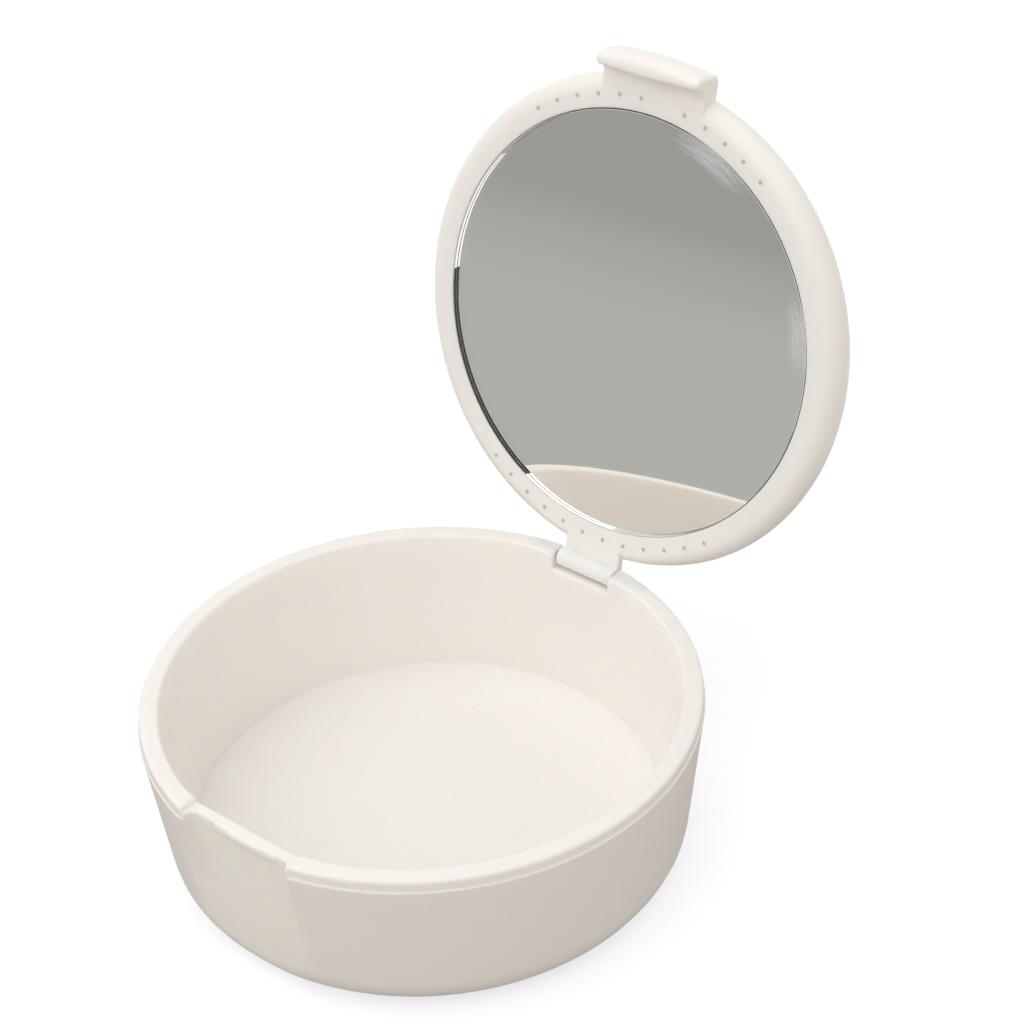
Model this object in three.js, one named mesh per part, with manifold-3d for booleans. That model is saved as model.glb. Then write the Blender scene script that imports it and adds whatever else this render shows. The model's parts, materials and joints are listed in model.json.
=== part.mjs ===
// Denture case with a hinged mirror lid, in millimetres.
// The bowl stands on the plane z = 0 with its axis on Z, the hinge is at +Y and the latch at -Y.
// The lid is drawn open, leaning back on its stop, and turns about the hinge pin.
import * as THREE from "three";
import { mergeVertices } from "three/addons/utils/BufferGeometryUtils.js";
import Module from "manifold-3d";

const wasm = await Module();
wasm.setup();

// Bowl: one moulding with a leaning wall, a rim band and a rounded bottom edge
const bowlHeight = 28;
const bowlRadius = 42.5; // wall just under the rim band
const wallTaper = 2.4; // radius lost from the rim band to the bottom edge
const floorThickness = 4.8;
const footRound = 6.7;
const rimBandHeight = 1.9;
const rimBandStep = 0.25;
const rimWidth = 2.85;
const rimOuterRound = 0.6;
const rimInnerRound = 0.5;
const seatDepth = 3.3; // upper stretch of the inner wall, which the closed lid enters
const seatTaper = 0.6;
const floorWallThickness = 4; // wall where the inside meets the floor
const creaseRound = 0.4;

// Lid: one moulding, a disc with a full round edge, a mirror pocket and a flat ring
const lidEdgeGap = 0.75; // lid's radius inside the mouth's
const lidThickness = 6.5;
const lidInnerRound = 2.7; // edge on the ring's side
const lidCrown = 0.5;
const lidForward = 0.58; // lid's centre ahead of the bowl's axis when closed
const lidNesting = 0.31; // ring face below the rim's top when closed
const ringWidth = 5.15;
const mirrorThickness = 1.2;
const mirrorSink = 0.15; // mirror's face behind the ring's face
const mirrorSideGap = 0.3;
const tapeThickness = 0.5;
const tapeMargin = 3; // mirror reaches past its tape
const seatGap = 0.1; // between faces that rest on each other

// Vents: two rows of fine holes through the ring, at the latch and at the hinge
const ventRadius = 0.34;
const ventInset = 3.05; // vent circle inside the lid's edge
const ventPitch = 4;
const ventsInRow = 12;
const blindVent = 6; // the latch row's seventh place has no hole
const ventSides = 8;

// Hinge: the lid's barrel on a steel pin between the ends of a notch in the rim
const openAngle = THREE.MathUtils.degToRad(104);
const hingeInset = 2.2; // pin's axis inside the rim's outer radius
const hingeDrop = 1; // pin's axis under the rim's top
const pinRadius = 0.5;
const pinGap = 0.1;
const pinGrip = 4; // pin's length in the blind side of the rim
const barrelRadius = 1.45;
const barrelWidth = 10.4;
const notchSideGap = 0.5; // at each end of the barrel
const webThickness = 1;
const heelReach = 1.3; // web's length past the pin, which lands on the notch's floor
const stopGap = 0.12; // between the open lid's heel and the floor
const hingeFlatDepth = 1.3; // flat inside the wall at the hinge, measured from the mouth's radius

// Latch: a block on the lid's edge with a hook that hangs over the catch in the bowl's recess
const latchWidth = 18.2;
const latchReach = 3.6; // outer face past the lid's edge
const latchThickness = 3.1;
const latchRoot = 3.5; // block's length inside the lid's edge
const latchBackRound = 1.2;
const latchTipRound = 1.8;
const latchEndRound = 0.9;
const hookDrop = 2.5;
const hookThickness = 2.85;
const hookFillet = 1.3;
const hookInnerRound = 0.6;
const snapGap = 0.1; // between the hook and the catch
const catchDepth = 0.4;
const catchWidth = 6.4;
const catchHeight = 1.9;
const catchStripDepth = 0.2;
const catchStripWidth = 12;
const catchRoot = 1.65; // catch's length inside the recess's flat
const catchOffset = 0.9; // catch's middle to the right of the recess's middle
const catchLipShare = 0.3; // upright part of the catch's face, as a share of its height
const recessSideGap = 1.1; // at each end of the latch
const recessFillet = 2;
const recessFadeHeight = 7; // where the recess runs out into the round wall
const bandGap = 0.64; // between the closed latch and the lowered rim
const catchFlatDepth = 1.8; // flat inside the wall at the latch, measured from the mouth's radius

// Drawing
const aroundSteps = 96;
const roundSteps = 5;
const crownSteps = 4;
const pinSteps = 16;
const latchSteps = 192;
const overrun = 2; // cutters reach past what they cut

// Places that follow from the sizes above
const rimRadius = bowlRadius - rimBandStep;
const bandBottom = bowlHeight - rimBandHeight;
const baseRadius = bowlRadius - wallTaper;
const mouthRadius = rimRadius - rimWidth;
const seatRadius = mouthRadius - seatTaper;
const floorRadius = baseRadius - floorWallThickness;
const wallLean = Math.atan(wallTaper / (bandBottom - footRound));
const hingeY = rimRadius - hingeInset;
const hingeZ = bowlHeight - hingeDrop;
const ringRise = hingeDrop - lidNesting; // ring's face above the pin's axis when closed
const lidCentre = -(hingeY + lidForward); // along Y from the pin's axis when closed
const lidOuterRound = lidThickness - lidInnerRound;
const lidRadius = mouthRadius - lidEdgeGap;
const latchRadius = lidRadius + latchReach;
const pocketRadius = lidRadius - ringWidth;
const pocketDepth = mirrorSink + mirrorThickness + tapeThickness + 2 * seatGap;
const notchHalfWidth = barrelWidth / 2 + notchSideGap;
const lidLean = openAngle - Math.PI / 2; // open lid's lean past upright
const heelDepth = (ringRise + webThickness) * Math.sin(lidLean) + heelReach * Math.cos(lidLean);
const notchFloor = hingeZ - heelDepth - stopGap;
const hookInner = latchRadius - hookThickness;
const recessHalfWidth = latchWidth / 2 + recessSideGap;
const catchFace = hookInner + lidForward - snapGap;
const facetTop = catchFace - catchDepth;
const bandTop = bowlHeight - lidNesting - bandGap;

// Points of an arc in the profile plane, from angle a to angle b.
function arc(x, y, radius, a, b, steps = roundSteps) {
  return Array.from({ length: steps + 1 }, (_, i) => {
    const angle = a + ((b - a) * i) / steps;
    return new THREE.Vector2(x + radius * Math.cos(angle), y + radius * Math.sin(angle));
  });
}

function point(x, y) {
  return new THREE.Vector2(x, y);
}

// A solid turned about Z from a profile of (radius, height) points.
function turned(profile, steps = aroundSteps) {
  return solidOf(new THREE.LatheGeometry(profile, steps).rotateX(Math.PI / 2));
}

// A solid that stands on z = bottom, from an outline in X and Y.
function upright(outline, bottom, height) {
  const geometry = new THREE.ExtrudeGeometry(new THREE.Shape(outline), {
    depth: height,
    bevelEnabled: false,
  });
  return solidOf(geometry.translate(0, 0, bottom));
}

// A solid centred on the plane x = 0, from an outline in Y and Z.
function crosswise(outline, width) {
  const geometry = new THREE.ExtrudeGeometry(new THREE.Shape(outline), {
    depth: width,
    bevelEnabled: false,
  });
  geometry.translate(0, 0, -width / 2);
  geometry.rotateY(Math.PI / 2);
  return solidOf(geometry.rotateX(Math.PI / 2));
}

// A round bar along X, from x = start to x = end.
function bar(radius, start, end, y, z, steps) {
  const geometry = new THREE.CylinderGeometry(radius, radius, end - start, steps);
  geometry.rotateZ(Math.PI / 2);
  return solidOf(geometry.translate((start + end) / 2, y, z));
}

function block(x0, x1, y0, y1, z0, z1) {
  const geometry = new THREE.BoxGeometry(x1 - x0, y1 - y0, z1 - z0);
  return solidOf(geometry.translate((x0 + x1) / 2, (y0 + y1) / 2, (z0 + z1) / 2));
}

function solidOf(geometry) {
  const bare = geometry.clone();
  bare.deleteAttribute("normal");
  bare.deleteAttribute("uv");
  const merged = mergeVertices(bare, 1e-4);
  const triVerts = new Uint32Array(merged.index.array);
  const vertProperties = merged.attributes.position.array;
  return new wasm.Manifold(new wasm.Mesh({ numProp: 3, vertProperties, triVerts }));
}

function meshOf(name, solid, material) {
  const mesh = solid.getMesh();
  const geometry = new THREE.BufferGeometry();
  geometry.setAttribute("position", new THREE.BufferAttribute(mesh.vertProperties, 3));
  geometry.setIndex(new THREE.BufferAttribute(mesh.triVerts, 1));
  geometry.computeVertexNormals();
  const made = new THREE.Mesh(geometry, material);
  made.name = name;
  return made;
}

// Outside of the bowl, filled: bottom edge, leaning wall, ledge, rim band and rim.
function bowlBlank() {
  const footCentre = baseRadius - footRound / Math.cos(wallLean);
  return turned([
    point(0, 0),
    ...arc(footCentre, footRound, footRound, -Math.PI / 2, -wallLean, 2 * roundSteps),
    point(bowlRadius, bandBottom),
    point(rimRadius, bandBottom),
    ...arc(rimRadius - rimOuterRound, bowlHeight - rimOuterRound, rimOuterRound, 0, Math.PI / 2),
    point(0, bowlHeight),
  ]);
}

// Inside of the bowl: the floor, the wall, the seat band and the round that opens the mouth,
// with a flat at the hinge and one at the latch where the wall keeps its thickness.
function bowlHollow() {
  const roundCentre = mouthRadius + rimInnerRound;
  const round = arc(roundCentre, bowlHeight - rimInnerRound, rimInnerRound, Math.PI, Math.PI / 2);
  const hollow = turned([
    point(0, floorThickness),
    ...arc(
      floorRadius - creaseRound,
      floorThickness + creaseRound,
      creaseRound,
      -Math.PI / 2,
      0,
    ),
    point(seatRadius, bowlHeight - seatDepth),
    ...round,
    point(roundCentre, bowlHeight + overrun),
    point(0, bowlHeight + overrun),
  ]);
  const between = block(
    -bowlRadius,
    bowlRadius,
    catchFlatDepth - mouthRadius,
    mouthRadius - hingeFlatDepth,
    0,
    bowlHeight + 2 * overrun,
  );
  return hollow.intersect(between);
}

// Notch through the rim for the barrel; the open lid's heel lands on its floor.
function hingeNotch() {
  const w = notchHalfWidth;
  const inside = mouthRadius - hingeFlatDepth - overrun;
  return block(-w, w, inside, bowlRadius + overrun, notchFloor, bowlHeight + overrun);
}

function pinBore() {
  const blindEnd = -notchHalfWidth - pinGrip;
  return bar(pinRadius + pinGap, blindEnd - pinGap, bowlRadius, hingeY, hingeZ, pinSteps);
}

// Recess in the wall under the latch: a flat with filleted ends, leaning so that it runs out.
function latchRecess() {
  const w = recessHalfWidth;
  const outside = -bowlRadius - overrun;
  const outline = [
    point(-w, outside),
    point(w, outside),
    ...arc(w - recessFillet, -facetTop - recessFillet, recessFillet, 0, Math.PI / 2),
    ...arc(recessFillet - w, -facetTop - recessFillet, recessFillet, Math.PI / 2, Math.PI),
  ];
  const fadeShare = (recessFadeHeight - footRound) / (bandBottom - footRound);
  const fadeRadius = baseRadius + wallTaper * Math.max(fadeShare, 0);
  const facetFoot = Math.sqrt(fadeRadius ** 2 - w ** 2);
  const lean = Math.atan((facetTop - facetFoot) / (bowlHeight - recessFadeHeight));
  const height = bowlHeight + 2 * overrun;
  const geometry = new THREE.ExtrudeGeometry(new THREE.Shape(outline), {
    depth: height,
    bevelEnabled: false,
  });
  geometry.translate(0, facetTop, -bowlHeight);
  geometry.rotateX(-lean);
  return solidOf(geometry.translate(0, -facetTop, bowlHeight));
}

// The rim is lowered between the recess's ends, and the latch plate closes over it.
function rimLowering() {
  const w = recessHalfWidth;
  const inside = catchFlatDepth - mouthRadius + overrun;
  return block(-w, w, -bowlRadius - overrun, inside, bandTop, bowlHeight + overrun);
}

// One ramp on the recess's flat: it slopes out from the lowered rim, stands, and slopes back.
function catchRamp(depth, width) {
  const root = catchRoot - facetTop;
  const lip = catchHeight * catchLipShare;
  const slope = (catchHeight - lip) / 2;
  const ramp = crosswise(
    [
      point(root, bandTop - catchHeight),
      point(root, bandTop),
      point(-facetTop, bandTop),
      point(-facetTop - depth, bandTop - slope),
      point(-facetTop - depth, bandTop - slope - lip),
      point(-facetTop, bandTop - catchHeight),
    ].reverse(),
    width,
  );
  return ramp.translate(catchOffset, 0, 0);
}

function bowl() {
  return bowlBlank()
    .subtract(latchRecess())
    .add(catchRamp(catchStripDepth, catchStripWidth))
    .add(catchRamp(catchDepth, catchWidth))
    .subtract(bowlHollow())
    .subtract(rimLowering())
    .subtract(hingeNotch())
    .subtract(pinBore());
}

function hingePin() {
  const flushEnd = Math.sqrt(rimRadius ** 2 - (hingeY + pinRadius) ** 2);
  return bar(pinRadius, -notchHalfWidth - pinGrip, flushEnd, hingeY, hingeZ, pinSteps);
}

// Lid pieces are drawn closed, about the pin's axis; heights are above the ring's face.
function lidDisc() {
  const round = lidRadius - lidInnerRound;
  const shoulder = lidRadius - lidOuterRound;
  const crown = Array.from({ length: crownSteps }, (_, i) => {
    const share = 1 - (i + 1) / crownSteps;
    return point(shoulder * share, lidThickness + lidCrown * (1 - share ** 2));
  });
  const disc = turned([
    point(0, pocketDepth),
    point(pocketRadius, pocketDepth),
    point(pocketRadius, 0),
    ...arc(round, lidInnerRound, lidInnerRound, -Math.PI / 2, 0),
    ...arc(shoulder, lidInnerRound, lidOuterRound, 0, Math.PI / 2).slice(1),
    ...crown,
  ]);
  return disc.translate(0, lidCentre, ringRise);
}

// Twelve places about the lid's middle line, at angle side; the vents go right through.
function ventRow(side, skipped) {
  const circle = lidRadius - ventInset;
  const depth = lidThickness + lidCrown + 2 * overrun;
  const places = Array.from({ length: ventsInRow }, (_, i) => i).filter((i) => i !== skipped);
  return places.map((i) => {
    const angle = side + ((i - (ventsInRow - 1) / 2) * ventPitch) / circle;
    const geometry = new THREE.CylinderGeometry(ventRadius, ventRadius, depth, ventSides);
    geometry.rotateX(Math.PI / 2);
    geometry.translate(
      circle * Math.cos(angle),
      lidCentre + circle * Math.sin(angle),
      ringRise + depth / 2 - overrun,
    );
    return solidOf(geometry);
  });
}

// Block on the lid's edge: its outer face follows the lid's circle, and its ends are rounded.
function latchBlock() {
  const inside = lidRadius - latchRoot;
  const tip = ringRise - hookDrop;
  const top = ringRise + latchThickness;
  const tipCentre = latchRadius - latchTipRound;
  const backCentre = latchRadius - latchBackRound;
  const profile = [
    point(inside, tip),
    ...arc(tipCentre, tip + latchTipRound, latchTipRound, -Math.PI / 2, 0),
    ...arc(backCentre, top - latchBackRound, latchBackRound, 0, Math.PI / 2),
    point(inside, top),
    point(inside, tip),
  ];
  const endX = latchWidth / 2 - latchEndRound;
  const endY = latchEndRound - Math.sqrt(latchRadius ** 2 - endX ** 2);
  const outline = [
    point(-latchWidth / 2, 0),
    ...arc(-endX, endY, latchEndRound, -Math.PI, -Math.PI / 2),
    point(0, -latchRadius - overrun),
    ...arc(endX, endY, latchEndRound, -Math.PI / 2, 0),
    point(latchWidth / 2, 0),
  ];
  const ends = upright(outline, tip - overrun, top - tip + 2 * overrun);
  return turned(profile, latchSteps).intersect(ends).translate(0, lidCentre, 0);
}

// Space under the block and inside the hook, with a fillet at the root and a rounded lip.
function hookHollow() {
  const face = lidCentre - hookInner;
  const tip = ringRise - hookDrop;
  const outline = [
    point(lidCentre, ringRise),
    ...arc(face + hookFillet, ringRise - hookFillet, hookFillet, Math.PI / 2, Math.PI),
    ...arc(face - hookInnerRound, tip + hookInnerRound, hookInnerRound, 0, -Math.PI / 2),
    point(face - hookInnerRound, tip - overrun),
    point(lidCentre, tip - overrun),
  ];
  return crosswise(outline, latchWidth + 2 * overrun);
}

// Web from the lid's edge to the barrel, and past it to the heel.
function hingeWeb() {
  const w = barrelWidth / 2;
  const inside = lidCentre + lidRadius - latchRoot;
  return block(-w, w, inside, heelReach, ringRise, ringRise + webThickness);
}

function barrel() {
  return bar(barrelRadius, -barrelWidth / 2, barrelWidth / 2, 0, 0, 2 * pinSteps);
}

function barrelBore() {
  const reach = barrelWidth / 2 + overrun;
  return bar(pinRadius + pinGap, -reach, reach, 0, 0, pinSteps);
}

function lid() {
  const latch = latchBlock().subtract(hookHollow());
  const vents = [...ventRow(-Math.PI / 2, blindVent), ...ventRow(Math.PI / 2, -1)];
  const whole = [latch, hingeWeb(), barrel()].reduce((a, b) => a.add(b), lidDisc());
  return vents.reduce((a, b) => a.subtract(b), whole.subtract(barrelBore()));
}

function disc(radius, bottom, thickness) {
  const profile = [
    point(0, bottom),
    point(radius, bottom),
    point(radius, bottom + thickness),
    point(0, bottom + thickness),
  ];
  return turned(profile).translate(0, lidCentre, ringRise);
}

function mirror() {
  return disc(pocketRadius - mirrorSideGap, mirrorSink, mirrorThickness);
}

function mirrorTape() {
  const bottom = mirrorSink + mirrorThickness + seatGap;
  return disc(pocketRadius - mirrorSideGap - tapeMargin, bottom, tapeThickness);
}

const whitePlastic = new THREE.MeshStandardMaterial({ color: 0xf0e8df, roughness: 0.4 });
const steel = new THREE.MeshStandardMaterial({ color: 0xb9bbbd, roughness: 0.3, metalness: 1 });
const silvered = new THREE.MeshStandardMaterial({ color: 0xd0d2d0, roughness: 0.03, metalness: 1 });
const foam = new THREE.MeshStandardMaterial({ color: 0xdfe0dc, roughness: 0.9 });

const lidGroup = new THREE.Group();
lidGroup.position.set(0, hingeY, hingeZ);
lidGroup.rotation.x = -openAngle;
lidGroup.add(meshOf("lid", lid(), whitePlastic));
lidGroup.add(meshOf("mirror", mirror(), silvered));
lidGroup.add(meshOf("mirror_tape", mirrorTape(), foam));

const group = new THREE.Group();
group.add(meshOf("bowl", bowl(), whitePlastic));
group.add(meshOf("hinge_pin", hingePin(), steel));
group.add(lidGroup);

export default group;
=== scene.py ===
import json
import math

import bmesh
import bpy
from mathutils import Matrix, Vector


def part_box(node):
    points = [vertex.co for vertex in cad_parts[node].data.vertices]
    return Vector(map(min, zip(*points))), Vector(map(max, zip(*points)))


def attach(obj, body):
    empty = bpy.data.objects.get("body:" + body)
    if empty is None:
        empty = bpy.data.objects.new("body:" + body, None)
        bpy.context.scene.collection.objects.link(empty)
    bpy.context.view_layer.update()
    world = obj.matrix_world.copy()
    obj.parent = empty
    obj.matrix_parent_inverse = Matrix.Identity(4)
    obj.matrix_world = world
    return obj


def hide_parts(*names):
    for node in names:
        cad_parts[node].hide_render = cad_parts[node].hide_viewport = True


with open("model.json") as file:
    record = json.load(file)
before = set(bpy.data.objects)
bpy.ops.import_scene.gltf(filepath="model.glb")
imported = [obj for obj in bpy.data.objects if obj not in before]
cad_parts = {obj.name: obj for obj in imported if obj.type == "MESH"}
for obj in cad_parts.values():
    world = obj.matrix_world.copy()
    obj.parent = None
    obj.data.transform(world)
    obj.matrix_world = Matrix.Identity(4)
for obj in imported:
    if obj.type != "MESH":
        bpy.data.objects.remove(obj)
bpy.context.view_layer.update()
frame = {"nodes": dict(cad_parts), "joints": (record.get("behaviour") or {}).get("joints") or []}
scene = bpy.context.scene

# Bowl: the lower half of the case, one injection moulding in white polypropylene. The mould
# forms the rim band, the notch that holds the hinge, the recess under the latch and the catch,
# and leaves every edge softly rounded.
MM = 0.001
bowl_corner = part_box("bowl")[1] / MM
bowl_radius = bowl_corner.x
bowl_height = bowl_corner.z
wall_taper = 2.4
floor_height = 4.8
foot_round = 6.7
band_height = 1.9
band_step = 0.25
rim_width = 2.85
rim_outer_round = 0.6
rim_inner_round = 0.5
seat_depth = 3.3
seat_taper = 0.6
seat_round = 0.8
floor_wall = 4
crease_round = 0.45
ledge_lean = 0.1
ledge_round = 0.25
band_bottom = bowl_height - band_height
rim_radius = bowl_radius - band_step
mouth_radius = rim_radius - rim_width
seat_radius = mouth_radius - seat_taper
seat_bottom = bowl_height - seat_depth
base_radius = bowl_radius - wall_taper
floor_radius = base_radius - floor_wall
wall_slope = wall_taper / (band_bottom - foot_round)


def rounded_outline(corners, closed=False):
    """Points along an outline. A corner is (x, y, radius of its arc, spacing of the stretch before it)."""
    arc_step = math.radians(11)
    ends = [Vector(c[:2]) for c in corners]
    points = []
    for i, (x, y, radius, spacing) in enumerate(corners):
        here = Vector((x, y))
        stretch = [here]
        if radius:
            to_last = (ends[i - 1] - here).normalized()
            to_next = (ends[(i + 1) % len(ends)] - here).normalized()
            half = to_last.angle(to_next) / 2
            middle = here + (to_last + to_next).normalized() * radius / math.sin(half)
            start = here + to_last * radius / math.tan(half) - middle
            end = here + to_next * radius / math.tan(half) - middle
            turn = math.copysign(math.pi - 2 * half, start.x * end.y - start.y * end.x)
            steps = max(math.ceil(abs(turn) / arc_step), 2)
            stretch = [middle + Matrix.Rotation(turn * k / steps, 2) @ start for k in range(steps + 1)]
        if points:
            run = stretch[0] - points[-1]
            parts = max(math.ceil(run.length / spacing), 1)
            last = points[-1]
            points += [last + run * k / parts for k in range(1, parts)]
        points += stretch
    if closed:
        run = points[0] - points[-1]
        parts = max(math.ceil(run.length / corners[0][3]), 1)
        last = points[-1]
        points += [last + run * k / parts for k in range(1, parts)]
    return points


def turned(outline, steps):
    """A bmesh turned about Z from an outline of (radius, height) that starts and ends on the axis."""
    bm = bmesh.new()
    verts = [bm.verts.new((p.x, 0, p.y)) for p in outline]
    edges = [bm.edges.new(pair) for pair in zip(verts, verts[1:])]
    bmesh.ops.spin(
        bm,
        geom=verts + edges,
        axis=(0, 0, 1),
        cent=(0, 0, 0),
        angle=math.tau,
        steps=steps,
        use_merge=True,
    )
    bmesh.ops.remove_doubles(bm, verts=bm.verts[:], dist=1e-4)
    bmesh.ops.recalc_face_normals(bm, faces=bm.faces[:])
    return bm


bowl_outline = rounded_outline([
    (0, 0, 0, 3),
    (bowl_radius - band_bottom * wall_slope, 0, foot_round, 4),
    (bowl_radius - ledge_lean * wall_slope, band_bottom - ledge_lean, ledge_round, 0.5),
    (rim_radius, band_bottom + ledge_lean, ledge_round, 0.2),
    (rim_radius, bowl_height, rim_outer_round, 0.25),
    (mouth_radius, bowl_height, rim_inner_round, 0.22),
    (seat_radius, seat_bottom, seat_round, 0.25),
    (floor_radius, floor_height, crease_round, 0.9),
    (0, floor_height, 0, 3),
])

# The notch, the recess and the catch, measured across the bowl
hinge_inset = 2.2
hinge_drop = 1
hinge_y = rim_radius - hinge_inset
hinge_z = bowl_height - hinge_drop
hinge_flat_inset, catch_flat_inset = 1.3, 1.8
hinge_flat = mouth_radius - hinge_flat_inset
catch_flat = mouth_radius - catch_flat_inset
flat_soft = 0.5
straight_radii = (20, 34)
straight_widths = (14, 24)
notch_left, notch_right = -5.45, 5.7
notch_floor = 25.21
notch_heart_depth, notch_heart_drop = 1.8, 1.4
notch_left_soft, notch_right_soft = 0.9, 0.3
notch_soft_run = (1, 4)
recess_half = 10.2
recess_top_depth = 39.48
recess_foot_height = 7
recess_heart_depth, recess_heart_drop = 0.9, 0.7
recess_crisp, recess_soft = 0.8, 2.4
soft_below_rim = (2, 8)
soft_above_foot = (9, 15)
crease_half = 9.05
crease_spread = 0.037
crease_soft = 0.45
side_lean = math.atan(0.64)
rim_drop = 0.95
band_top = bowl_height - rim_drop
band_edge = 0.3
catch_middle = 0.9
catch_height = 1.9
catch_ramp = 0.45
catch_side = 0.07
catch_forms = ((6, 0.2), (3.2, 0.4))
line_radius = rim_radius - rim_width / 2
recess_foot_radius = base_radius + (recess_foot_height - foot_round) * wall_slope
recess_foot_depth = math.sqrt(recess_foot_radius**2 - recess_half**2)
recess_slope = (recess_top_depth - recess_foot_depth) / (bowl_height - recess_foot_height)


def angles_close_at(places):
    """Angles round the bowl that stand close together near the places and apart elsewhere."""
    fine, coarse, growth = 0.0016, 0.026, 0.2
    angles = [0]
    while angles[-1] < math.tau:
        nearest = min(abs(angles[-1] - place) for place in places)
        angles.append(angles[-1] + min(fine + nearest * growth, coarse))
    return [a * math.tau / angles[-1] for a in angles[:-1]]


def share(value, start, end):
    """0 before start, 1 after end, and a smooth rise between them."""
    t = min(max((value - start) / (end - start), 0), 1)
    return t * t * (3 - 2 * t)


def soft_max(a, b, soft):
    """The larger of the two, with a smooth change from one to the other."""
    overlap = max(soft - abs(a - b), 0) / soft
    return max(a, b) + overlap * overlap * soft / 4


def carve(bm, heart_of, cutter, edge_at):
    """Draws each vertex straight towards the wall's heart until it clears the cutter.
    The edge round the cut is rounded by the width that edge_at gives there."""
    halvings = 20
    for v in bm.verts:
        soft = edge_at(v.co)
        if soft_max(0, -cutter(v.co), soft) < 1e-5:
            continue
        heart = heart_of(v.co)
        reach = v.co - heart
        length = reach.length
        low, high = 0, 1
        for _ in range(halvings):
            middle = (low + high) / 2
            if soft_max((middle - 1) * length, -cutter(heart + reach * middle), soft) > 0:
                high = middle
            else:
                low = middle
        v.co = heart + reach * low


def catch_rise(x, z):
    """How far the catch stands out of the recess's face."""
    down = band_top - z
    along = min(down, catch_height - down) / catch_ramp
    rise = 0
    for half, depth in catch_forms:
        across = (half - abs(x - catch_middle)) / catch_side
        rise = max(rise, depth * min(max(along, 0), 1) * min(max(across, 0), 1))
    return rise


def recess_depth(z):
    """How far in front of the bowl's middle the recess's face lies."""
    return recess_top_depth - (bowl_height - z) * recess_slope


def recess_cutter(p):
    """Distance outside the latch's recess, and outside the space over the lowered rim."""
    if p.y > 0:
        return bowl_radius
    out = -p.y - recess_depth(p.z)
    crease = crease_half + (band_top - p.z) * crease_spread
    side = (abs(p.x) - crease) * math.cos(side_lean) - out * math.sin(side_lean)
    pocket = soft_max(side, catch_rise(p.x, p.z) - out, crease_soft)
    over_rim = max(abs(p.x) - recess_half, band_top - p.z)
    return -soft_max(-pocket, -over_rim, band_edge)


def recess_heart(p):
    """A point inside the front wall, behind the recess's face."""
    heart_height = min(p.z, seat_bottom - recess_heart_drop)
    return Vector((p.x, recess_heart_depth - recess_depth(heart_height), heart_height))


def recess_edge(p):
    """The recess's edge is crisp at the rim and at its foot, and softer between them."""
    softer = share(bowl_height - p.z, *soft_below_rim) * share(p.z, *soft_above_foot)
    return recess_crisp + (recess_soft - recess_crisp) * softer


def notch_cutter(p):
    """Distance outside the hinge's notch."""
    return max(notch_left - p.x, p.x - notch_right, notch_floor - p.z) if p.y > 0 else bowl_radius


def notch_heart(p):
    """A point inside the back wall, under the notch's floor."""
    return Vector((p.x, hinge_flat + notch_heart_depth, notch_floor - notch_heart_drop))


def notch_edge(p):
    """The notch's left side is the softer one."""
    return notch_left_soft + (notch_right_soft - notch_left_soft) * share(p.x - notch_left, *notch_soft_run)


hinge_places = [math.acos(x / line_radius) for x in (notch_left, notch_right)]
latch_places = [-recess_half, -crease_half, crease_half, recess_half]
latch_places += [catch_middle + s * half for s in (-1, 1) for half, depth in catch_forms]
latch_places = [math.pi * 1.5 + math.asin(x / line_radius) for x in latch_places]
bowl_angles = angles_close_at(hinge_places + latch_places)
bowl_bm = turned(bowl_outline, len(bowl_angles))
for v in bowl_bm.verts:
    # The even spin is moved to the chosen angles, and near the hinge and the latch its lines run
    # straight across the wall.
    radius = math.hypot(v.co.x, v.co.y)
    if radius < 1e-3:
        continue
    turn = math.atan2(v.co.y, v.co.x) % math.tau / math.tau
    angle = bowl_angles[round(turn * len(bowl_angles)) % len(bowl_angles)]
    across = line_radius * math.cos(angle)
    straight = share(radius, *straight_radii) * (1 - share(abs(across), *straight_widths))
    x = radius * math.cos(angle) * (1 - straight) + across * straight
    v.co.x = x
    v.co.y = math.copysign(math.sqrt(max(radius**2 - x**2, 0)), math.sin(angle))
    # The wall's inside is flat at the hinge and at the latch, and keeps its thickness there.
    if v.co.z < floor_height + crease_round:
        continue
    lean = (seat_radius - floor_radius) / (seat_bottom - floor_height)
    inner = floor_radius + (v.co.z - floor_height) * lean
    if v.co.z > seat_bottom:
        inner = seat_radius + (v.co.z - seat_bottom) * seat_taper / seat_depth
    outer = bowl_radius - max(band_bottom - v.co.z, 0) * wall_slope - band_step
    through = min(max((radius - inner) / (outer - inner), 0), 1)
    flat = hinge_flat if v.co.y > 0 else catch_flat
    wall = math.sqrt(max(min(radius, mouth_radius) ** 2 - x**2, 0))
    pushed = wall + soft_max(-wall, -flat, flat_soft)
    v.co.y -= math.copysign(pushed * (1 - through), v.co.y)
carve(bowl_bm, recess_heart, recess_cutter, recess_edge)
carve(bowl_bm, notch_heart, notch_cutter, notch_edge)


def piece(bm, name, materials, place=Matrix.Identity(4)):
    """An object in metres from a bmesh in millimetres, smooth apart from its sharp edges."""
    bmesh.ops.transform(bm, matrix=Matrix.Scale(MM, 4) @ place, verts=bm.verts[:])
    mesh = bpy.data.meshes.new(name)
    bm.to_mesh(mesh)
    bm.free()
    mesh.shade_smooth()
    for material in materials:
        mesh.materials.append(material)
    made = bpy.data.objects.new(name, mesh)
    scene.collection.objects.link(made)
    return made


sharp_angle = math.radians(38)


def bar(radius, start, end, segments=64):
    """A bmesh of a round bar along X."""
    bm = bmesh.new()
    bmesh.ops.create_cone(
        bm,
        cap_ends=True,
        segments=segments,
        radius1=radius,
        radius2=radius,
        depth=end - start,
        matrix=Matrix.Translation(((start + end) / 2, 0, 0)) @ Matrix.Rotation(math.pi / 2, 4, "Y"),
    )
    return bm


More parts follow.
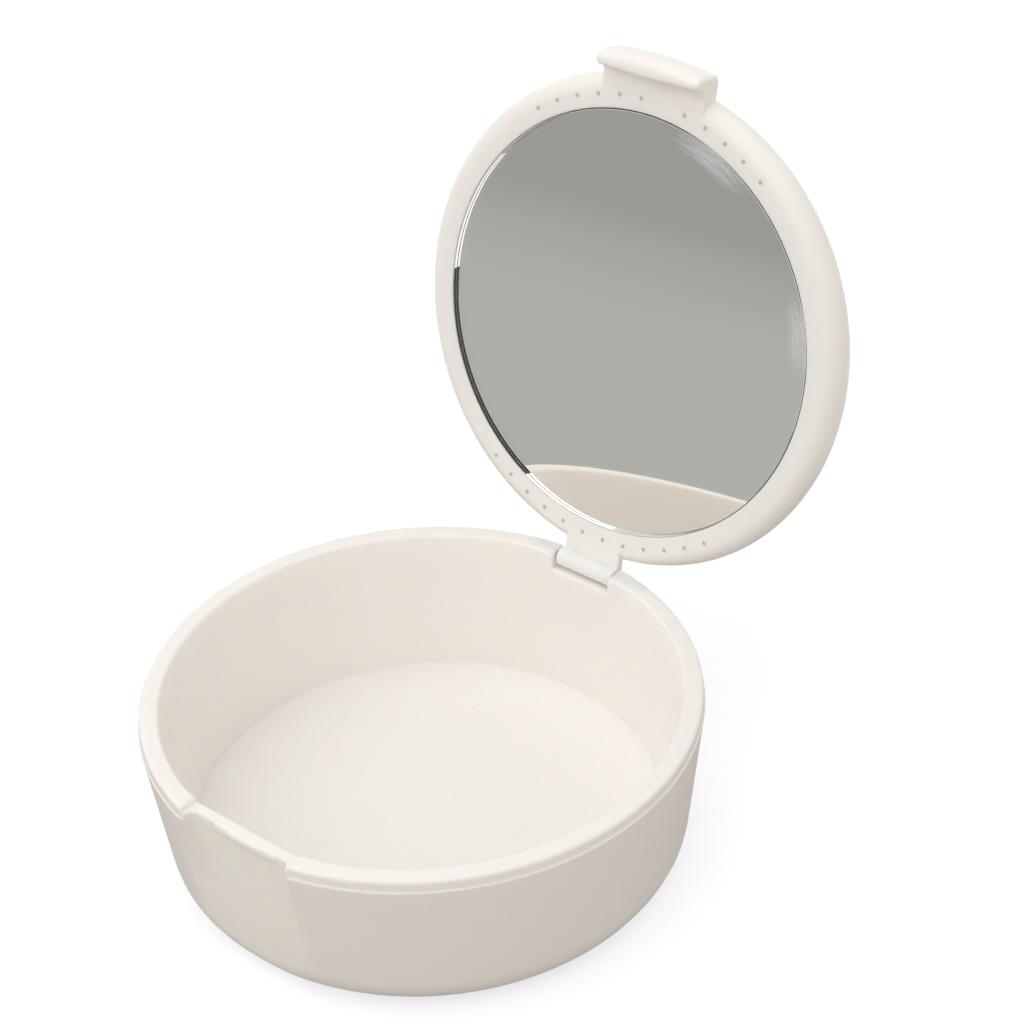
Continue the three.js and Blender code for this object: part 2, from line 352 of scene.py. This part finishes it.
def joined(body, *steps):
    """Body with each other object added to it or cut from it, as one mesh. The others are removed."""
    for operation, other in steps:
        step = body.modifiers.new(other.name, "BOOLEAN")
        step.operation = operation
        step.solver = "MANIFOLD"
        step.object = other
    graph = bpy.context.evaluated_depsgraph_get()
    mesh = bpy.data.meshes.new_from_object(body.evaluated_get(graph))
    body.modifiers.clear()
    body.data = mesh
    for _, other in steps:
        bpy.data.objects.remove(other)
    mesh.set_sharp_from_angle(angle=sharp_angle)
    weighted = body.modifiers.new("weighted normals", "WEIGHTED_NORMAL")
    weighted.keep_sharp = True
    weighted.weight = 60
    return body


def linear(hex_colour):
    """An sRGB hex colour as linear red, green and blue with alpha."""
    parts = [int(hex_colour[i : i + 2], 16) / 255 for i in (0, 2, 4)]
    return [p / 12.92 if p <= 0.04045 else ((p + 0.055) / 1.055) ** 2.4 for p in parts] + [1]


def node(tree, kind, inputs=None, **settings):
    """Adds a node. Inputs are values, or the sockets that feed them; settings are its own properties."""
    made = tree.nodes.new(kind)
    for name, value in settings.items():
        setattr(made, name, value)
    for name, value in (inputs or {}).items():
        if isinstance(value, bpy.types.NodeSocket):
            tree.links.new(value, made.inputs[name])
        else:
            made.inputs[name].default_value = value
    return made


def new_material(name):
    """An empty node tree with its output, under a material's own name."""
    material = bpy.data.materials.new(name)
    material.use_nodes = True
    material.node_tree.nodes.clear()
    output = material.node_tree.nodes.new("ShaderNodeOutputMaterial")
    return material, material.node_tree, output.inputs["Surface"]


def moulded_polypropylene():
    """Moulded white polypropylene: slightly milky, so light creeps into its edges, with a soft sheen,
    a faint orange peel from the mould, fine rub marks and a rare dark speck. The rub marks are drawn
    wide enough to show."""
    material, tree, surface = new_material("white polypropylene, moulded")
    where = node(tree, "ShaderNodeTexCoord").outputs["Object"]
    cloud_size, peel_size, speck_size, rub_size = 14 * MM, 0.5 * MM, 5 * MM, 0.3 * MM
    peel_depth, light_reach, edge_softness = 0.008 * MM, 2 * MM, 0.22 * MM
    rub_stretch = 0.08
    cloud = node(tree, "ShaderNodeTexNoise", {"Vector": where, "Scale": 1 / cloud_size, "Detail": 3})
    colour = node(
        tree,
        "ShaderNodeMix",
        {"Factor": cloud.outputs["Fac"], "A": linear("FCF9F5"), "B": linear("FAF5F0")},
        data_type="RGBA",
    )
    dots = node(tree, "ShaderNodeTexVoronoi", {"Vector": where, "Scale": 1 / speck_size})
    speck = node(
        tree,
        "ShaderNodeMapRange",
        {
            "Value": dots.outputs["Distance"],
            "From Min": 0.018,
            "From Max": 0.034,
            "To Min": 0.35,
            "To Max": 0,
        },
    )
    speckled = node(
        tree,
        "ShaderNodeMix",
        {"Factor": speck.outputs[0], "A": colour.outputs["Result"], "B": linear("B9A88F")},
        data_type="RGBA",
    )
    stretched = node(tree, "ShaderNodeMapping", {"Vector": where, "Scale": (1, rub_stretch, 1)})
    rubs = node(
        tree, "ShaderNodeTexNoise", {"Vector": stretched.outputs[0], "Scale": 1 / rub_size, "Detail": 2}
    )
    sheen = node(
        tree,
        "ShaderNodeMapRange",
        {"Value": rubs.outputs["Fac"], "From Min": 0.3, "From Max": 0.75, "To Min": 0.3, "To Max": 0.42},
    )
    peel = node(tree, "ShaderNodeTexNoise", {"Vector": where, "Scale": 1 / peel_size, "Detail": 2})
    edge = node(tree, "ShaderNodeBevel", {"Radius": edge_softness}, samples=6)
    bump = node(
        tree,
        "ShaderNodeBump",
        {
            "Height": peel.outputs["Fac"],
            "Strength": 0.35,
            "Distance": peel_depth,
            "Normal": edge.outputs[0],
        },
    )
    plastic = node(
        tree,
        "ShaderNodeBsdfPrincipled",
        {
            "Base Color": speckled.outputs["Result"],
            "Roughness": sheen.outputs[0],
            "IOR": 1.49,
            "Subsurface Weight": 0.6,
            "Subsurface Radius": (1.0, 0.75, 0.5),
            "Subsurface Scale": light_reach,
            "Normal": bump.outputs[0],
        },
    )
    tree.links.new(plastic.outputs[0], surface)
    return material


white_plastic = moulded_polypropylene()
pin_gap = 0.1
pin_low, pin_high = (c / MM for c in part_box("hinge_pin"))
pin_radius = (pin_high.z - pin_low.z) / 2
bore_place = Matrix.Translation((0, hinge_y, hinge_z))
bowl_moulding = piece(bowl_bm, "bowl_moulding", [white_plastic])
bowl_bore_bm = bar(pin_radius + pin_gap, pin_low.x - pin_gap, bowl_radius)
bowl_bore = piece(bowl_bore_bm, "bowl_bore", [white_plastic], bore_place)
joined(bowl_moulding, ("DIFFERENCE", bowl_bore))
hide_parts("bowl")
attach(bowl_moulding, "bowl")

# Hinge pin: a straight steel wire pushed in through the right side of the rim. It grips the blind
# side, and the barrel turns on it. Its cut ends are broken with a small chamfer.
pin_segments = 48
pin_chamfer = 0.1
pin_bm = bar(pin_radius, pin_low.x, pin_high.x, pin_segments)
end_rims = [e for e in pin_bm.edges if abs(e.verts[0].co.x - e.verts[1].co.x) < 1e-6]
bmesh.ops.bevel(
    pin_bm, geom=end_rims, offset=pin_chamfer, segments=3, profile=0.5, affect="EDGES", material=-1
)

# Drawn steel: fine marks run along the wire and break its shine. They are drawn coarser than the
# real ones, which are too fine to show.
mark_width, mark_depth, mark_stretch = 0.08 * MM, 0.01 * MM, 0.04
wire_steel, tree, surface = new_material("steel wire, drawn")
where = node(tree, "ShaderNodeTexCoord").outputs["Object"]
along = node(tree, "ShaderNodeMapping", {"Vector": where, "Scale": (mark_stretch, 1, 1)})
draw_marks = node(tree, "ShaderNodeTexNoise", {"Vector": along.outputs[0], "Scale": 1 / mark_width})
mark_shine = node(
    tree, "ShaderNodeMapRange", {"Value": draw_marks.outputs["Fac"], "To Min": 0.18, "To Max": 0.4}
)
mark_bump = node(
    tree, "ShaderNodeBump", {"Height": draw_marks.outputs["Fac"], "Strength": 0.3, "Distance": mark_depth}
)
steel = node(
    tree,
    "ShaderNodeBsdfPrincipled",
    {
        "Base Color": linear("B4B5B6"),
        "Metallic": 1,
        "Roughness": mark_shine.outputs[0],
        "Normal": mark_bump.outputs[0],
    },
)
tree.links.new(steel.outputs[0], surface)
pin_wire = piece(pin_bm, "pin_wire", [wire_steel], bore_place)
pin_wire.data.set_sharp_from_angle(angle=sharp_angle)
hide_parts("hinge_pin")
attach(pin_wire, "bowl")

# Lid: the upper half, one moulding in the same polypropylene. A disc with a pocket for the mirror
# has a ring pierced by two rows of vents, a latch block with a hook, and a web that ends in the
# hinge's barrel. It is drawn closed, about the pin, and then turned open.
lid_hinge = frame["joints"][0]
open_angle = math.radians(lid_hinge["range_deg"][1])
lid_place = bore_place @ Matrix.Rotation(-open_angle, 4, "X")
lid_gap = 0.75
lid_radius = mouth_radius - lid_gap
lid_thickness = 6.5
lid_inner_round = 2.7
lid_outer_round = 3.75
lid_side_lean = 0.8
lid_front_flare = 0.65
lid_crown = 0.5
ring_width = 5.15
pocket_radius = lid_radius - ring_width
pocket_depth = 2.05
pocket_mouth_round = 0.2
ring_rise = 0.69
lid_ahead = 0.58
lid_middle = -(hinge_y + lid_ahead)

# The disc, with its mirror side at the bottom. Its side flares there and leans in toward the back.
lid_steps = 288
lid_outline = rounded_outline([
    (0, pocket_depth, 0, 3),
    (pocket_radius, pocket_depth, 0, 3),
    (pocket_radius, 0, pocket_mouth_round, 0.5),
    (lid_radius + lid_front_flare, 0, lid_inner_round, 0.7),
    (lid_radius - lid_side_lean, lid_thickness, lid_outer_round, 0.7),
    (0, lid_thickness, 0, 2),
])
disc_bm = turned(lid_outline, lid_steps)

# The back is crowned: it rises a little toward the disc's middle.
for v in disc_bm.verts:
    out = math.hypot(v.co.x, v.co.y) / (lid_radius - lid_side_lean - lid_outer_round)
    if v.co.z > lid_thickness - 1e-3 and out < 1:
        v.co.z += lid_crown * (1 - out**2) ** 2

# The same plastic inside the vents, with painted shade and a painted glow: a dull tan that mottles at
# random stands in for the shade in the narrow holes, and its emission stands in for the light that seeps
# through the plastic.
vent_mottle_size = 0.4 * MM
vent_painted_shade_glow, tree, surface = new_material("white polypropylene, inside of the vents")
where = node(tree, "ShaderNodeTexCoord").outputs["Object"]
vent_mottle = node(tree, "ShaderNodeTexNoise", {"Vector": where, "Scale": 1 / vent_mottle_size})
# painted shade: this tan colour stands in for the shade inside the narrow vents
vent_shade_colour = node(
    tree,
    "ShaderNodeMix",
    {"Factor": vent_mottle.outputs["Fac"], "A": linear("D2CCBB"), "B": linear("C7C0AE")},
    data_type="RGBA",
)
vent_shade_and_glow = node(
    tree,
    "ShaderNodeBsdfPrincipled",
    {
        "Base Color": vent_shade_colour.outputs["Result"],
        "Roughness": 0.6,
        # painted glow: this emission stands in for the light that seeps through the plastic into the vents
        "Emission Color": vent_shade_colour.outputs["Result"],
        "Emission Strength": 0.3,
    },
)
tree.links.new(vent_shade_and_glow.outputs[0], surface)
lid_materials = [white_plastic, vent_painted_shade_glow]
disc_place = lid_place @ Matrix.Translation((0, lid_middle, ring_rise))
lid_moulding = piece(disc_bm, "lid_moulding", lid_materials, disc_place)

# The latch block: its section at the lid's middle line, extruded from one end to the other
latch_half = 9.3
latch_shift = -0.2
latch_reach = 3.6
latch_radius = lid_radius + latch_reach
latch_thickness = 3.1
latch_root = 3.5
latch_underside = 0.03
latch_back_round, latch_front_round = 0.95, 1.8
latch_end_round = 0.6
latch_bow_radius = 70
hook_drop = 2.5
hook_thickness = 2.85
hook_tip_round, hook_root_round = 0.6, 1.6
hook_slant = 0.06
hook_blend = 1
hook_inner = latch_radius - hook_thickness
hook_middle = (hook_inner + latch_radius) / 2
anchor_inset = 2
latch_anchor = Vector((lid_radius - anchor_inset, latch_thickness / 2))
latch_section = rounded_outline(
    [
        (lid_radius - latch_root, latch_thickness, 0, 0.4),
        (latch_radius, latch_thickness, latch_back_round, 0.5),
        (latch_radius, -hook_drop, latch_front_round, 0.3),
        (hook_inner, -hook_drop, hook_tip_round, 0.3),
        (hook_inner, 0, hook_root_round, 0.3),
        (lid_radius - latch_root, latch_underside, 0, 0.5),
    ],
    closed=True,
)
latch_bm = bmesh.new()
rim_verts = [latch_bm.verts.new((-latch_half, p.x, p.y)) for p in latch_section]
rim_edges = [latch_bm.edges.new(pair) for pair in zip(rim_verts, rim_verts[1:] + rim_verts[:1])]
bmesh.ops.contextual_create(latch_bm, geom=rim_edges)
end_steps, middle_steps = 8, 40
end_shares = [1 - math.cos(math.pi / 2 * k / end_steps) for k in range(end_steps + 1)]
half_run = latch_half - latch_end_round
latch_stations = [-latch_half + latch_end_round * s for s in end_shares]
latch_stations += [half_run * (2 * k / middle_steps - 1) for k in range(1, middle_steps)]
latch_stations += [-x for x in latch_stations[end_steps::-1]]
edges = rim_edges
for last, x in zip(latch_stations, latch_stations[1:]):
    drawn = bmesh.ops.extrude_edge_only(latch_bm, edges=edges)["geom"]
    moved = [g for g in drawn if isinstance(g, bmesh.types.BMVert)]
    edges = [g for g in drawn if isinstance(g, bmesh.types.BMEdge) and all(v in moved for v in g.verts)]
    bmesh.ops.translate(latch_bm, verts=moved, vec=(x - last, 0, 0))
bmesh.ops.contextual_create(latch_bm, geom=edges)

# Both ends are drawn in to a round, the face bows back to both sides, and the hook's inside opens
# a little to the right.
for v in latch_bm.verts:
    x, out, height = v.co
    from_end = latch_half - abs(x)
    drawn_in = min(max(latch_end_round - from_end, 0), latch_end_round)
    shrink = latch_end_round - math.sqrt(latch_end_round**2 - drawn_in**2)
    anchor = latch_anchor.x + (hook_middle - latch_anchor.x) * share(-height, 0, hook_blend)
    curved = share(out, hook_inner, latch_radius)
    bow = curved * (latch_bow_radius - math.sqrt(latch_bow_radius**2 - x**2))
    slant = hook_slant * max(x, 0) * share(-height, 0, hook_drop) * (1 - curved)
    out = anchor + (out - anchor) * (1 - shrink / (latch_radius - anchor)) - bow + slant
    height = latch_anchor.y + (height - latch_anchor.y) * (1 - shrink / (latch_radius - latch_anchor.x))
    v.co = (x + latch_shift, -out, height)
bmesh.ops.recalc_face_normals(latch_bm, faces=latch_bm.faces[:])
latch = piece(latch_bm, "latch", [white_plastic], disc_place)

# The web, its heel and the barrel. They sit close to the notch's right side, as the lid has slid.
barrel_radius = 1.45
barrel_left, barrel_right = -5.1, 5.68
barrel_left_round, barrel_right_round = 0.45, 0.08
web_left, web_right = -4.95, 5.45
web_thickness = 1.5
web_edge_round = 0.2
web_root = 4
web_sink = 0.02
heel_reach = 1.15
web_inside = lid_middle + lid_radius - web_root
web_low = Vector((web_left, web_inside, ring_rise + web_sink))
web_high = Vector((web_right, heel_reach, ring_rise + web_thickness))
web_block = Matrix.Translation((web_low + web_high) / 2) @ Matrix.Diagonal((*(web_high - web_low), 1))
web_bm = bmesh.new()
bmesh.ops.create_cube(web_bm, size=1, matrix=web_block)
bmesh.ops.bevel(
    web_bm,
    geom=web_bm.edges[:],
    offset=web_edge_round,
    segments=4,
    profile=0.5,
    affect="EDGES",
    material=-1,
)
web = piece(web_bm, "web", [white_plastic], lid_place)
barrel_bm = bar(barrel_radius, barrel_left, barrel_right)
for end, end_round in ((barrel_left, barrel_left_round), (barrel_right, barrel_right_round)):
    end_rim = [e for e in barrel_bm.edges if all(abs(v.co.x - end) < 1e-4 for v in e.verts)]
    bmesh.ops.bevel(
        barrel_bm, geom=end_rim, offset=end_round, segments=5, profile=0.5, affect="EDGES", material=-1
    )
barrel = piece(barrel_bm, "barrel", [white_plastic], lid_place)
barrel_bore_bm = bar(pin_radius + pin_gap, barrel_left - 1, barrel_right + 1, pin_segments)
barrel_bore = piece(barrel_bore_bm, "barrel_bore", [white_plastic], lid_place)

# Two rows of vents, at the latch and at the hinge; one place at the latch has none.
vent_radius = 0.34
vent_segments = 20
vent_inset = 3.05
vent_circle = lid_radius - vent_inset
vent_pitch = 4
vents_in_row = 12
blind_vent = 6
vents_bm = bmesh.new()
for side, skipped in ((-1, blind_vent), (1, None)):
    for i in range(vents_in_row):
        if i == skipped:
            continue
        angle = side * math.pi / 2 + (i - (vents_in_row - 1) / 2) * vent_pitch / vent_circle
        spot = (vent_circle * math.cos(angle), vent_circle * math.sin(angle), lid_thickness / 2)
        bmesh.ops.create_cone(
            vents_bm,
            cap_ends=True,
            segments=vent_segments,
            radius1=vent_radius,
            radius2=vent_radius,
            depth=2 * lid_thickness,
            matrix=Matrix.Translation(spot),
        )
for face in vents_bm.faces:
    face.material_index = lid_materials.index(vent_painted_shade_glow)
vents = piece(vents_bm, "vents", lid_materials, disc_place)
joined(
    lid_moulding,
    ("UNION", latch),
    ("UNION", web),
    ("UNION", barrel),
    ("DIFFERENCE", barrel_bore),
    ("DIFFERENCE", vents),
)
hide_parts("lid")
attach(lid_moulding, "lid")

# Mirror tape: a disc of double-sided foam tape that holds the mirror in the lid's pocket. It is
# hidden by the mirror, and keeps the shape that it has in the frame. The foam shows fine cells, with
# painted shade in each cell's hollow.
cell_size, cell_depth = 0.25 * MM, 0.05 * MM
foam, tree, surface = new_material("foam tape, die cut")
where = node(tree, "ShaderNodeTexCoord").outputs["Object"]
cells = node(tree, "ShaderNodeTexVoronoi", {"Vector": where, "Scale": 1 / cell_size})
cell_bump = node(tree, "ShaderNodeBump", {"Height": cells.outputs["Distance"], "Distance": cell_depth})
# painted shade: each cell is drawn darker toward its hollow, where the bump is lowest
cell_hollow_shade = node(
    tree,
    "ShaderNodeMix",
    {"Factor": cells.outputs["Distance"], "A": linear("DAD9D2"), "B": linear("EDECE7")},
    data_type="RGBA",
)
foam_face = node(
    tree,
    "ShaderNodeBsdfPrincipled",
    {"Base Color": cell_hollow_shade.outputs["Result"], "Roughness": 0.9, "Normal": cell_bump.outputs[0]},
)
tree.links.new(foam_face.outputs[0], surface)
tape = frame["nodes"]["mirror_tape"]
tape.data.materials.clear()
tape.data.materials.append(foam)

# Mirror: a round of thin float glass, silvered on its back, that lies a little under the ring. Its
# edge is cut and dressed only next to the silver, so the depth of the glass shows there as a fine
# double line. The silver has started to haze near the edge, and the haze carries a faint painted glow.
mirror_gap = 0.16
mirror_radius = pocket_radius - mirror_gap
mirror_steps = 256
mirror_sink = 0.15
mirror_thickness = 1.2
edge_grind = 0.04
arris_height = 0.2
mirror_back = mirror_sink + mirror_thickness
mirror_outline = [
    (0, mirror_sink),
    (mirror_radius - edge_grind, mirror_sink),
    (mirror_radius, mirror_sink + edge_grind),
    (mirror_radius, mirror_back - arris_height),
    (mirror_radius, mirror_back),
    (0, mirror_back),
]
mirror_bm = turned([Vector(p) for p in mirror_outline], mirror_steps)
silver_slot, ground_slot = 1, 2
for face in mirror_bm.faces:
    height = face.calc_center_median().z
    if height > mirror_back - 1e-3:
        face.material_index = silver_slot
    elif height > mirror_back - arris_height:
        face.material_index = ground_slot

# The pane: clear and smooth, with faint smears from wiping.
smear_size = 9 * MM
clear_glass, tree, surface = new_material("float glass, polished")
where = node(tree, "ShaderNodeTexCoord").outputs["Object"]
smears = node(tree, "ShaderNodeTexNoise", {"Vector": where, "Scale": 1 / smear_size, "Detail": 4})
smear_shine = node(
    tree,
    "ShaderNodeMapRange",
    {"Value": smears.outputs["Fac"], "From Min": 0.45, "From Max": 0.75, "To Min": 0, "To Max": 0.012},
)
pane = node(
    tree,
    "ShaderNodeBsdfPrincipled",
    {
        "Base Color": linear("FCFCFB"),
        "Roughness": smear_shine.outputs[0],
        "IOR": 1.52,
        "Transmission Weight": 1,
    },
)
tree.links.new(pane.outputs[0], surface)

# The ground arris: a frosted line, broken here and there.
chip_size = 1.2 * MM
ground_glass, tree, surface = new_material("float glass, ground")
where = node(tree, "ShaderNodeTexCoord").outputs["Object"]
chips = node(tree, "ShaderNodeTexNoise", {"Vector": where, "Scale": 1 / chip_size, "Detail": 3})
frost_colour = node(
    tree,
    "ShaderNodeMix",
    {"Factor": chips.outputs["Fac"], "A": linear("6E7270"), "B": linear("F4F6F5")},
    data_type="RGBA",
)
frost = node(
    tree,
    "ShaderNodeBsdfPrincipled",
    {"Base Color": frost_colour.outputs["Result"], "Roughness": 0.7},
)
tree.links.new(frost.outputs[0], surface)

# The silver: haze gathers in two patches by the right edge, in fine streaks that follow it, and the hazed
# patches glow faintly with painted light. A patch is its place across the lid and along it from the middle,
# and its spread.
haze_patches = ((11, 29.3, 12), (30.4, 8, 10))
haze_start, haze_full = 5, 2
silvering, tree, surface = new_material("mirror silver, hazed at the edge, with a painted glow")
where = node(tree, "ShaderNodeTexCoord").outputs["Object"]
mirror_middle = disc_place @ Vector((0, 0, 0)) * MM
from_middle = node(tree, "ShaderNodeVectorMath", {0: where, 1: mirror_middle}, operation="DISTANCE")
near_edge = node(
    tree,
    "ShaderNodeMapRange",
    {
        "Value": from_middle.outputs["Value"],
        "From Min": (mirror_radius - haze_start) * MM,
        "From Max": (mirror_radius - haze_full) * MM,
    },
    interpolation_type="SMOOTHSTEP",
)
streak_width, streak_length = 0.7 * MM, 4 * MM
inward = node(
    tree, "ShaderNodeMath", {0: from_middle.outputs["Value"], 1: 1 / streak_width}, operation="MULTIPLY"
)
streaks = node(
    tree,
    "ShaderNodeVectorMath",
    {0: where, 1: (1 / streak_length,) * 3, 2: inward.outputs[0]},
    operation="MULTIPLY_ADD",
)
streak_grain = node(
    tree, "ShaderNodeTexNoise", {"Vector": streaks.outputs[0], "Scale": 1, "Detail": 4, "Roughness": 0.6}
)
haze = None
for across, along_lid, spread in haze_patches:
    patch = disc_place @ Vector((across, -along_lid, 0)) * MM
    from_patch = node(tree, "ShaderNodeVectorMath", {0: where, 1: patch}, operation="DISTANCE")
    patch_share = node(
        tree,
        "ShaderNodeMapRange",
        {
            "Value": from_patch.outputs["Value"],
            "From Min": 0,
            "From Max": spread * MM,
            "To Min": 1,
            "To Max": 0,
        },
        interpolation_type="SMOOTHSTEP",
    )
    if haze:
        patch_share = node(
            tree, "ShaderNodeMath", {0: haze.outputs[0], 1: patch_share.outputs[0]}, operation="MAXIMUM"
        )
    haze = patch_share
haze = node(tree, "ShaderNodeMath", {0: haze.outputs[0], 1: near_edge.outputs[0]}, operation="MULTIPLY")
haze = node(
    tree, "ShaderNodeMath", {0: haze.outputs[0], 1: streak_grain.outputs["Fac"]}, operation="MULTIPLY"
)
haze_and_glow_share = node(
    tree,
    "ShaderNodeMapRange",
    {"Value": haze.outputs[0], "From Min": 0.15, "From Max": 0.58, "To Min": 0, "To Max": 0.9},
)
silver = node(
    tree,
    "ShaderNodeBsdfPrincipled",
    {"Base Color": linear("F6F4F1"), "Metallic": 1, "Roughness": 0.01},
)
# painted glow: the hazed silver's emission stands in for light on the haze
haze_and_glow = node(
    tree,
    "ShaderNodeBsdfPrincipled",
    {
        "Base Color": linear("F4F7F8"),
        "Roughness": 0.8,
        "Emission Color": linear("F4F7F8"),
        "Emission Strength": 0.2,
    },
)
both = node(
    tree, "ShaderNodeMixShader", {0: haze_and_glow_share.outputs[0], 1: silver.outputs[0], 2: haze_and_glow.outputs[0]}
)
tree.links.new(both.outputs[0], surface)

# The mirror has slipped a little in its pocket.
mirror_slip = Matrix.Translation((-0.03, 0.05, 0))
mirror_sharp_angle = math.radians(30)
mirror_materials = [clear_glass, silvering, ground_glass]
mirror_glass = piece(mirror_bm, "mirror_glass", mirror_materials, disc_place @ mirror_slip)
mirror_glass.data.set_sharp_from_angle(angle=mirror_sharp_angle)
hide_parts("mirror")
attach(mirror_glass, "lid")

# Table: a pale sweep that runs out of sight. It shows white, and keeps the case's soft shadow.
def looked_at(tree):
    """1 for rays from the camera, also by way of a reflection or clear glass, and 0 for all others."""
    path = node(tree, "ShaderNodeLightPath")
    known = path.outputs["Is Camera Ray"]
    for kind in ("Is Glossy Ray", "Is Transmission Ray"):
        either = node(tree, "ShaderNodeMath", {0: known, 1: path.outputs[kind]}, operation="MAXIMUM")
        known = either.outputs[0]
    return known


table_half = 4000
table_lift = 0.68
table_bm = bmesh.new()
bmesh.ops.create_grid(table_bm, x_segments=1, y_segments=1, size=table_half)
table_paper, tree, surface = new_material("white paper sweep, matt")
paper = node(tree, "ShaderNodeBsdfDiffuse", {"Color": linear("BBB6B1")})
lift = node(tree, "ShaderNodeMath", {0: looked_at(tree), 1: table_lift}, operation="MULTIPLY")
glow = node(tree, "ShaderNodeEmission", {"Color": linear("F3F9FF"), "Strength": lift.outputs[0]})
both = node(tree, "ShaderNodeAddShader", {0: paper.outputs[0], 1: glow.outputs[0]})
tree.links.new(both.outputs[0], surface)
table = piece(table_bm, "table", [table_paper])


def card(name, width, middle, facing, near_colour, far_colour, change=(430, 850), for_glass=True):
    """A square card that shows only through the mirror's glass, or only in the sheen of the plastic.
    Its colour changes between two distances from the case."""
    cloud_scale, cloud_shift = 9, 0.12
    material, tree, surface = new_material(name + ", matt")
    where = node(tree, "ShaderNodeTexCoord").outputs["Object"]
    away = node(tree, "ShaderNodeVectorMath", {0: where}, operation="LENGTH")
    clouds = node(tree, "ShaderNodeTexNoise", {"Vector": where, "Scale": cloud_scale, "Detail": 2})
    wander = node(
        tree,
        "ShaderNodeMath",
        {0: clouds.outputs["Fac"], 1: cloud_shift, 2: away.outputs["Value"]},
        operation="MULTIPLY_ADD",
    )
    changed = node(
        tree,
        "ShaderNodeMapRange",
        {"Value": wander.outputs[0], "From Min": change[0] * MM, "From Max": change[1] * MM},
        interpolation_type="SMOOTHSTEP",
    )
    colour = node(
        tree,
        "ShaderNodeMix",
        {"Factor": changed.outputs[0], "A": linear(near_colour), "B": linear(far_colour)},
        data_type="RGBA",
    )
    glow = node(tree, "ShaderNodeEmission", {"Color": colour.outputs["Result"]})
    tree.links.new(glow.outputs[0], surface)
    bm = bmesh.new()
    bmesh.ops.create_grid(bm, x_segments=1, y_segments=1, size=width / 2)
    turn = Vector(facing).to_track_quat("Z", "Y").to_matrix().to_4x4()
    made = piece(bm, name.replace(" ", "_"), [material], Matrix.Translation(middle) @ turn)
    made.visible_camera = False
    made.visible_diffuse = False
    made.visible_glossy = not for_glass
    made.visible_transmission = for_glass
    made.visible_shadow = False


# Cards: a grey one in front and to the left, which is what the mirror shows, and two black ones in
# front and to the right, which the edge of the glass shows. A grey one under the case takes the
# white glare off its sides.
card("grey card", 1600, (-850, -890, 2), (0, 0, 1), "B1B2AE", "9A9996")
card("low black card", 700, (350, -371, 277), (-0.5, 0.53, 0.72), "0E0E0E", "0E0E0E")
card("high black card", 900, (320, -410, 300), (-0.53, 0.68, -0.5), "0E0E0E", "0E0E0E")
card("under card", 300, (0, 0, 0.2), (0, 0, 1), "A4A19B", "FFFFFF", (130, 210), for_glass=False)

# Studio light: an even pale room, and one very large soft box overhead, a little in front and to the
# left.
room_light = 0.77
world = bpy.data.worlds.new("studio")
scene.world = world
world.use_nodes = True
tree = world.node_tree
tree.nodes.clear()
room = node(tree, "ShaderNodeBackground", {"Color": linear("FFFBF7"), "Strength": room_light})
white = node(tree, "ShaderNodeBackground", {"Color": linear("FFFFFF"), "Strength": 1})
chosen = node(tree, "ShaderNodeMixShader", {0: looked_at(tree), 1: room.outputs[0], 2: white.outputs[0]})
node(tree, "ShaderNodeOutputWorld", {"Surface": chosen.outputs[0]})
box_place = Vector((-0.25, -0.65, 1.5))
box_target = Vector((0, 0, 0.05))
box_width = 2.2
box_watts = 10
soft_box = bpy.data.lights.new("overhead", "AREA")
soft_box.shape = "RECTANGLE"
soft_box.size = box_width
soft_box.size_y = box_width
soft_box.energy = box_watts
overhead = bpy.data.objects.new("overhead", soft_box)
overhead.location = box_place
overhead.rotation_euler = (box_target - box_place).to_track_quat("-Z", "Y").to_euler()
scene.collection.objects.link(overhead)

# Camera: a long lens from the front right, above the case and a little tilted
azimuth = math.radians(40.8)
elevation = math.radians(35.191)
tilt = math.radians(-2.869)
camera_right, camera_up, camera_back = 12.48, 49.383, 440.994
sensor = 36
focal_share = 2839.227 / 1024
back = Vector(
    (
        math.sin(azimuth) * math.cos(elevation),
        -math.cos(azimuth) * math.cos(elevation),
        math.sin(elevation),
    )
)
level = Vector((math.cos(azimuth), math.sin(azimuth), 0))
upright = back.cross(level)
right = level * math.cos(tilt) + upright * math.sin(tilt)
up = upright * math.cos(tilt) - level * math.sin(tilt)
spot = (right * camera_right + up * camera_up + back * camera_back) * MM
camera = bpy.data.objects.new("camera", bpy.data.cameras.new("camera"))
camera.data.sensor_width = sensor
camera.data.lens = sensor * focal_share
camera.data.clip_start = 0.01
camera.matrix_world = Matrix.Translation(spot) @ Matrix((right, up, back)).transposed().to_4x4()
scene.collection.objects.link(camera)
scene.camera = camera
scene.view_settings.view_transform = "Standard"
